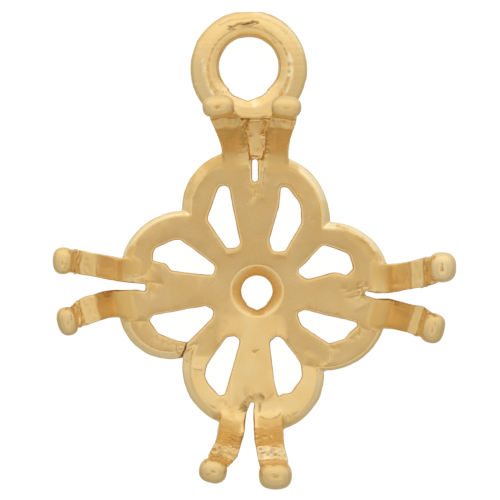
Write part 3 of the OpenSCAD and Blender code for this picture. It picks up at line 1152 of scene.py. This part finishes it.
    def shape(self, metal: Surface) -> None:
        """Dome the tip, roughen the notch and the seat, cut the marks and sway the seat's edges.

        Args:
            metal: the surface.
        """
        zones = self.zones(metal)
        lump = GRAIN.at(metal.points, self.lump_size, layers=3)
        fine = GRAIN.at(metal.points, self.fine_size)
        streaks = self.streaks(metal)
        along, across, up = self.local(metal.points)
        out = np.hypot(along / self.radius, across / (self.width / 2.0))
        fall = self.dome * np.minimum(out, 1.0) ** 2 * zones["tip"] * metal.front
        metal.points[:, 2] -= fall * smooth(up - self.tip_z, *self.dome_edge)
        metal.raise_by(
            self.wear.notch_rough * zones["notch"] * lump
            + self.wear.seat_rough * zones["seat"] * fine
            + (self.streak_height * streaks + self.wear.ramp_rough * fine) * zones["ramp"]
            + self.tip_height * zones["tip"] * GRAIN.at(metal.points, self.tip_size)
        )
        for mark in self.own_marks():
            mark.shape(metal)
        turn = math.radians(self.heading)
        sway = self.seat_sway * GRAIN.at(metal.points, self.sway_size)
        sway = sway * np.maximum(zones["seat"], zones["ledge"])
        metal.points[:, :2] += sway[:, None] * np.array([math.cos(turn), math.sin(turn)])

    def dress(self, metal: Surface) -> None:
        """Polish the tip, leave skin and dirt on the rest, and paint shade into the crease at the root.

        Args:
            metal: the surface.
        """
        wear = self.wear
        zones = self.zones(metal)
        mean, swing = self.streak_tone
        streaks = mean + swing * self.streaks(metal)
        specks = smooth(GRAIN.at(metal.points, self.speck_size, layers=3), *self.speck_edge)
        higher = smooth(metal.points[:, 2], *self.ramp_higher)
        # Painted shade: brown and dark on the sloping crease where the claw's root meets the plate
        shaded_root = wear.foot_shade * window(metal.tilt, *wear.foot_tilt, self.foot_tilt_soft) * zones["root"]
        notch_hold = min(1.0, wear.notch_rough / self.notch_full_rough)
        seat_hold = min(1.0, wear.seat_rough / self.seat_full_rough)
        tints = {
            Tone.STAIN: (
                self.notch_dirt * zones["notch"] * specks * notch_hold,
                (wear.seat_dirt + self.speck_dirt * specks * seat_hold) * zones["seat"],
                wear.ramp_dirt * zones["ramp"] * higher * (self.ramp_dirt_even + streaks),
                self.foot_shade_stain * shaded_root,
                wear.tip_dirt * zones["tip"],
            ),
            Tone.CAST: (
                self.notch_skin * zones["notch"],
                wear.seat_skin * zones["seat"],
                wear.ramp_skin * zones["ramp"] * (self.ramp_skin_even + streaks)
                * (self.ramp_skin_low + (1.0 - self.ramp_skin_low) * higher),
                self.foot_shade_skin * shaded_root,
            ),
            Tone.POLISH: (
                self.notch_worn * zones["notch"],
                wear.seat_worn * zones["seat"],
                zones["ramp"] * np.maximum(wear.ramp_worn, self.foot_worn * (1.0 - higher)),
                wear.tip_worn * zones["tip"],
            ),
        }
        for tone, shares in tints.items():
            metal.tint(tone, np.max(shares, axis=0))
        for mark in self.own_marks():
            mark.dress(metal)


# Each claw's name, x, y, heading, foot, seat_in, seat_out, radius and width, its wear and its marks
CLAWS = (
    Claw(
        "left upper", -8.80, 1.40, 180, 2.80, 1.44, 0.78, 0.49, 1.24,
        Wear(0.07, 0.006, 0.004, 0.1, 0.1, 1.0, 0.35, 0.0, 0.9, tip_worn=0.4),
        (
            seam(0.09, 0.02, 0.8, (-8.8, 1.05), (-8.78, 1.3)),
            ridge(0.2, 0.012, (-8.98, 1.1), (-8.95, 1.7)),
            seam(0.12, 0.012, 0.2, (-7.5, 0.82), (-6.4, 0.62)),
        ),
    ),
    Claw(
        "left lower", -8.61, -1.35, 195, 2.37, 1.44, 0.77, 0.47, 1.34,
        Wear(0.06, 0.006, 0.006, 0.0, 0.04, 0.0, 0.7, 0.12, 0.9, tip_dirt=0.16),
        (
            seam(0.09, 0.025, 1.0, (-8.55, -1.12), (-8.52, -1.35)),
            ridge(0.2, 0.01, (-8.72, -0.9), (-8.66, -1.6)),
            seam(0.1, 0.018, 0.8, (-8.65, -0.68), (-8.35, -0.6)),
            seam(0.12, 0.018, 0.6, (-8.25, -0.47), (-8.1, -0.4)),
            crust(0.3, 0.03, 0.12, (-7.3, -0.22), (-6.5, -0.08)),
        ),
    ),
    Claw(
        "right upper", 8.40, 1.10, 0, 2.54, 1.37, 0.80, 0.66, 1.40,
        Wear(0.05, 0.005, 0.003, 0.1, 0.14, 1.0, 0.3, 0.0, 0.8, tip_worn=0.7),
        (
            seam(0.09, 0.025, 1.2, (8.48, 1.0), (8.5, 1.28)),
            ridge(0.22, 0.012, (8.38, 0.7), (8.4, 1.5)),
            ridge(0.22, 0.012, (8.2, 1.6), (8.7, 1.62)),
            crust(0.5, 0.012, 0.1, (6.2, 0.45), (6.9, 0.6)),
        ),
    ),
    Claw(
        "right lower", 7.97, -1.67, -15, 2.22, 1.01, 0.63, 0.56, 1.38,
        Wear(0.05, 0.006, 0.004, 0.25, 0.17, 0.0, 0.8, 0.17, 1.0, tip_dirt=0.16),
        (
            seam(0.1, 0.03, 1.0, (8.18, -1.42), (8.16, -1.62)),
            ridge(0.2, 0.012, (8.06, -1.2), (8.02, -2.1)),
            seam(0.1, 0.012, 0.6, (7.8, -0.9), (8.15, -0.99)),
        ),
    ),
    Claw(
        "bottom left", -2.00, -8.14, 254, 2.30, 1.21, 0.71, 0.58, 1.28,
        Wear(0.07, 0.05, 0.015, 0.4, 0.1, 0.6, 0.5, 0.14, 0.9, (32.0, 60.0), tip_dirt=0.13),
        (
            pit(0.14, 0.03, 0.5, -1.88, -8.16),
            seam(0.11, 0.018, 0.8, (-2.32, -8.42), (-2.1, -8.4)),
            crust(0.5, 0.04, 0.2, (-1.9, -7.6), (-1.2, -7.7)),
        ),
    ),
    Claw(
        "bottom right", 0.83, -8.34, 270, 2.48, 1.25, 0.68, 0.67, 1.50,
        Wear(0.03, 0.03, 0.015, 0.0, 0.0, 0.6, 0.4, 0.06, 0.7, (32.0, 60.0), seat_worn=0.75, tip_dirt=0.13),
        (
            seam(0.1, 0.014, 0.35, (0.35, -8.55), (0.8, -8.42), (1.15, -8.58)),
            seam(0.1, 0.01, 0.25, (0.6, -8.3), (0.95, -8.26)),
            crust(0.5, 0.04, 0.05, (0.1, -6.8), (0.6, -6.7)),
            seam(0.12, 0.024, 0.5, (0.3, -7.74), (1.3, -7.68)),
            crust(0.36, 0.015, 0.12, (0.3, -8.02), (1.35, -8.02)),
        ),
    ),
    Claw(
        "top left", -1.76, 8.40, 94, 2.26, 0.95, 0.54, 0.53, 1.44,
        Wear(0.03, 0.015, 0.01, 0.6, 0.2, 0.0, 0.8, 0.16, 0.8),
        (
            seam(0.11, 0.03, 1.0, (-1.86, 8.4), (-1.7, 8.52), (-1.55, 8.58)),
            ridge(0.2, 0.012, (-2.1, 8.45), (-1.75, 8.62)),
            crust(0.3, 0.03, 0.12, (-1.4, 7.3), (-0.8, 7.3)),
        ),
    ),
    Claw(
        "top right", 1.33, 8.37, 87, 2.30, 0.93, 0.50, 0.52, 1.38,
        Wear(0.03, 0.03, 0.01, 0.5, 0.13, 0.0, 0.7, 0.13, 0.75),
        (
            crust(0.4, 0.015, 0.12, (0.7, 7.9), (1.4, 7.7)),
            seam(0.1, 0.012, 0.2, (0.6, 7.35), (1.4, 7.3)),
            crust(0.4, 0.008, 0.0, (1.0, 8.45), (1.5, 8.4)),
        ),
    ),
)


@dataclass(frozen=True)
class Bail:
    """The round bail and the neck that carries it."""

    x: float = -0.38
    y: float = 10.2
    outer: float = 2.68
    eye_y: float = 10.31
    eye: float = 1.37
    step: float = 0.12
    cone: float = 0.4
    cone_lift: float = 0.09
    cone_heights: Span = (1.1, 1.9)
    cone_from: Edge = (9.41, 10.11)
    below_web: Edge = (2.0, 1.7)
    above_neck: Edge = (7.9, 8.1)
    upright: Edge = (0.4, 0.15)
    eye_wall: Edge = (0.2, 0.1)
    streak_size: tuple[float, float, float] = (0.9, 0.09, 1.0)
    streak_height: float = 0.006
    streaks_in: Edge = (0.0, 0.2)
    streaks_out: Edge = (0.3, 0.0)
    marks: tuple[Mark, ...] = (
        seam(0.13, 0.03, 1.4, (-1.25, 12.05), (-0.95, 12.18), (-0.5, 12.26), (-0.05, 12.34)),
        seam(0.1, 0.02, 0.9, (-1.0, 12.2), (-0.6, 12.3), (-0.2, 12.36)),
        seam(0.1, 0.02, 0.7, (-0.8, 12.08), (-0.3, 12.18), (0.05, 12.22)),
        seam(0.1, 0.015, 0.35, (0.0, 12.4), (0.12, 12.28), (0.5, 11.8), (0.85, 11.35)),
        patch(0.8, (-1.4, 11.95), (-0.4, 12.3), (0.6, 12.1), stain=0.06, cast=0.3),
        # Painted highlight: pale bands along the bail's crest, left and right
        patch(0.36, (-2.48, 10.6), (-2.4, 10.0), (-2.22, 9.42), (-1.94, 9.1), flat=0.4, polish=1.25),
        patch(0.44, (1.5, 10.8), (1.58, 10.3), (1.5, 9.8), (1.32, 9.2), flat=0.4, polish=1.5),
        patch(0.18, (-0.95, 11.74), (-0.35, 11.9), (0.2, 11.72), flat=0.5, cast=1.0),
        crust(0.26, 0.02, 0.25, (-1.25, 12.0), (-0.7, 12.22), (0.0, 12.32)),
        # Painted highlight: the web under the bail is painted pale
        patch(1.2, (-1.6, 9.15), (-1.2, 8.75), (-0.4, 8.5), (0.5, 8.75), (0.9, 9.15), flat=0.8, polish=0.9),
        seam(0.1, 0.012, 0.4, (0.0, 12.15), (0.18, 12.1)),
        seam(
            0.12, 0.024, 0.25, (-1.75, 12.2), (-1.2, 12.42), (-0.5, 12.52), (0.0, 12.54), (0.5, 12.42),
            (1.0, 12.16), (1.4, 11.75),
        ),
        crust(0.25, 0.02, 0.15, (-2.1, 9.55), (-1.95, 9.3)),
        crust(0.25, 0.02, 0.08, (-1.95, 9.2), (-1.6, 9.1)),
        crust(0.2, 0.012, 0.08, (1.0, 9.35), (1.15, 9.2)),
        # Facets cut beside the neck, brown with skin and stain: as-cast roughness, and painted shade between
        # the top claws
        patch(0.46, (0.3, 7.2), (0.42, 7.5), (0.34, 7.85), depth=0.05, rough=0.05, stain=0.45, cast=0.9),
        patch(0.36, (-0.42, 6.9), (-0.5, 7.3), (-0.42, 7.8), depth=0.03, rough=0.05, stain=0.4, cast=0.9),
        patch(0.3, (-0.36, 6.1), (0.3, 6.15), rough=0.04, stain=0.35, cast=0.8),
        patch(0.6, (-0.1, 6.3), (0.1, 6.8), rough=0.015, grain=0.2, cast=0.3),
        pit(0.2, 0.06, 0.9, -0.3, 7.1),
        pit(0.18, -0.03, 0.3, -0.28, 6.28),
        pit(0.15, -0.025, 0.3, 0.08, 6.15),
        seam(0.09, 0.01, 0.5, (-0.38, 7.88), (0.5, 7.88)),
        # Brown on the claws' sides facing the neck: as-cast roughness, and painted shade between the top
        # claws
        patch(
            0.55, (-0.6, 6.35), (-0.6, 6.9), (-0.7, 7.5), (-0.85, 7.9), rough=0.04, stain=0.4, cast=0.9,
            layer=Layer.ALL,
        ),
        patch(
            0.5, (0.42, 6.35), (0.5, 6.9), (0.57, 7.5), (0.7, 7.9), rough=0.04, stain=0.35, cast=0.9,
            layer=Layer.ALL,
        ),
        *scuffs(
            3, (-1.3, 12.02), (-0.95, 12.2), (-0.5, 12.28), (0.0, 12.36),
            count=16, spread=0.1, length=0.4, heading=20.0, width=0.07, depth=0.02, stain=1.3,
        ),
        *scuffs(
            5, (-0.6, 6.4), (-0.62, 7.2), (-0.85, 7.9),
            count=22, spread=0.2, length=0.16, heading=60.0,
            width=0.14, depth=0.035, stain=0.6, layer=Layer.ALL,
        ),
        *scuffs(
            7, (0.42, 6.3), (0.52, 7.2), (0.7, 7.9),
            count=20, spread=0.18, length=0.16, heading=110.0,
            width=0.14, depth=0.035, stain=0.5, layer=Layer.ALL,
        ),
    )

    def shape(self, metal: Surface) -> None:
        """Flatten the outer part of the eye's cone, file faint streaks and cut the marks.

        Args:
            metal: the surface.
        """
        x, y, z = metal.points.T
        past = np.hypot(x - self.x, y - self.eye_y) - self.eye
        lift = smooth(past, 0.0, self.step) * np.clip((self.cone - past) / (self.cone - self.step), 0.0, 1.0)
        lift *= window(z, *self.cone_heights) * smooth(y, *self.cone_from)
        metal.points[:, 2] += self.cone_lift * lift * metal.front
        out = np.hypot(x - self.x, y - self.y)
        band = smooth(out - self.eye, *self.streaks_in) * smooth(out - self.outer, *self.streaks_out)
        low = smooth(z, *self.below_web) * smooth(y, *self.above_neck)
        streaks = GRAIN.at(metal.points, self.streak_size)
        metal.raise_by(self.streak_height * streaks * band * low * metal.front)
        for mark in self.marks:
            mark.shape(metal)

    def dress(self, metal: Surface) -> None:
        """Leave the skin in the eye, and the marks' tones.

        Args:
            metal: the surface.
        """
        x, y, z = metal.points.T
        past = np.hypot(x - self.x, y - self.eye_y) - self.eye
        wall = smooth(abs(metal.normals[:, 2]), *self.upright) * smooth(past, *self.eye_wall)
        metal.tint(Tone.CAST, wall * smooth(z, *self.below_web))
        for mark in self.marks:
            mark.dress(metal)


@dataclass
class Casting:
    """The setting as one casting: its solid is rounded, worked over and dressed."""

    merge: float = 0.0005
    voxel: float = 0.045
    smoothing: int = 5
    smooth_factor: float = 0.5
    loose_rounds: int = 30
    loose_least: float = 0.02
    faces: int = 192_000
    plate: Plate = field(default_factory=Plate)
    claws: tuple[Claw, ...] = CLAWS
    bail: Bail = field(default_factory=Bail)
    finish: GoldFinish = field(default_factory=GoldFinish)

    def merged_solid(self) -> bpy.types.Mesh:
        """Copy the frame's solid in millimetres, with its loose triangles joined.

        Returns:
            The new mesh.
        """
        shape = bmesh.new()
        shape.from_mesh(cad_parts[NODE].data)
        bmesh.ops.transform(shape, matrix=Matrix.Scale(1 / MM, 4), verts=shape.verts)
        bmesh.ops.remove_doubles(shape, verts=shape.verts, dist=self.merge)
        return new_mesh("casting", shape)

    def apply(self, piece: bpy.types.Object) -> None:
        """Apply a piece's modifiers to its mesh.

        Args:
            piece: the object that has them.
        """
        graph = bpy.context.evaluated_depsgraph_get()
        old = piece.data
        done = bpy.data.meshes.new_from_object(piece.evaluated_get(graph))
        piece.modifiers.clear()
        piece.data = done
        bpy.data.meshes.remove(old)

    def round_off(self, piece: bpy.types.Object) -> None:
        """Turn the sharp solid into an even, softly rounded mesh.

        Args:
            piece: the casting.
        """
        remesh = piece.modifiers.new("remesh", "REMESH")
        remesh.mode = "VOXEL"
        remesh.voxel_size = self.voxel
        remesh.use_smooth_shade = True
        soften = piece.modifiers.new("soften", "SMOOTH")
        soften.factor = self.smooth_factor
        soften.iterations = self.smoothing
        self.apply(piece)

    def relax(self, piece: bpy.types.Object) -> None:
        """Smooth the feet of the ramps and the necks of the tips further.

        Args:
            piece: the casting.
        """
        metal = Surface(piece.data)
        share = np.max([claw.loose(metal) for claw in self.claws], axis=0)
        shape = bmesh.new()
        shape.from_mesh(piece.data)
        shape.verts.ensure_lookup_table()
        loose = [(shape.verts[i], share[i]) for i in np.flatnonzero(share > self.loose_least)]
        for k in range(self.loose_rounds):
            bmesh.ops.smooth_vert(
                shape, verts=[v for v, s in loose if s > k / self.loose_rounds], factor=self.smooth_factor,
                use_axis_x=True, use_axis_y=True, use_axis_z=True,
            )
        shape.to_mesh(piece.data)
        shape.free()

    def open_crack(self, piece: bpy.types.Object) -> None:
        """Cut the open joint of the lower left lobe.

        Args:
            piece: the casting.
        """
        wedge = self.plate.crack_cutter()
        cut = piece.modifiers.new("crack", "BOOLEAN")
        cut.operation = "DIFFERENCE"
        cut.solver = "MANIFOLD"
        cut.object = wedge
        self.apply(piece)
        bpy.data.objects.remove(wedge)

    def thin(self, piece: bpy.types.Object) -> None:
        """Reduce the mesh to the set number of faces.

        Args:
            piece: the casting.
        """
        triangles = sum(len(face.vertices) - 2 for face in piece.data.polygons)
        fewer = piece.modifiers.new("thin", "DECIMATE")
        fewer.ratio = min(1.0, self.faces / triangles)
        self.apply(piece)

    def build(self) -> bpy.types.Object:
        """Shape and dress the casting.

        Returns:
            The finished piece.
        """
        piece = new_object("setting_casting", self.merged_solid())
        self.round_off(piece)
        log.info("rounded: %d vertices", len(piece.data.vertices))
        self.relax(piece)
        parts = (self.plate, *self.claws, self.bail)
        metal = Surface(piece.data)
        for part in parts:
            part.shape(metal)
        metal.write_points()
        self.open_crack(piece)
        self.thin(piece)
        metal = Surface(piece.data)
        for part in parts:
            part.dress(metal)
        metal.write_tones()
        piece.data.transform(Matrix.Scale(MM, 4))
        piece.data.materials.clear()
        piece.data.materials.append(self.finish.material())
        for face in piece.data.polygons:
            face.use_smooth = True
        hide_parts(NODE)
        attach(piece, "root")
        return piece


def main() -> None:
    """Build the studio and the setting."""
    logging.basicConfig(level=logging.INFO, format="%(name)s: %(message)s")
    Studio().build()
    piece = Casting().build()
    log.info("%s: %d faces", piece.name, len(piece.data.polygons))


if __name__ == "__main__":
    main()
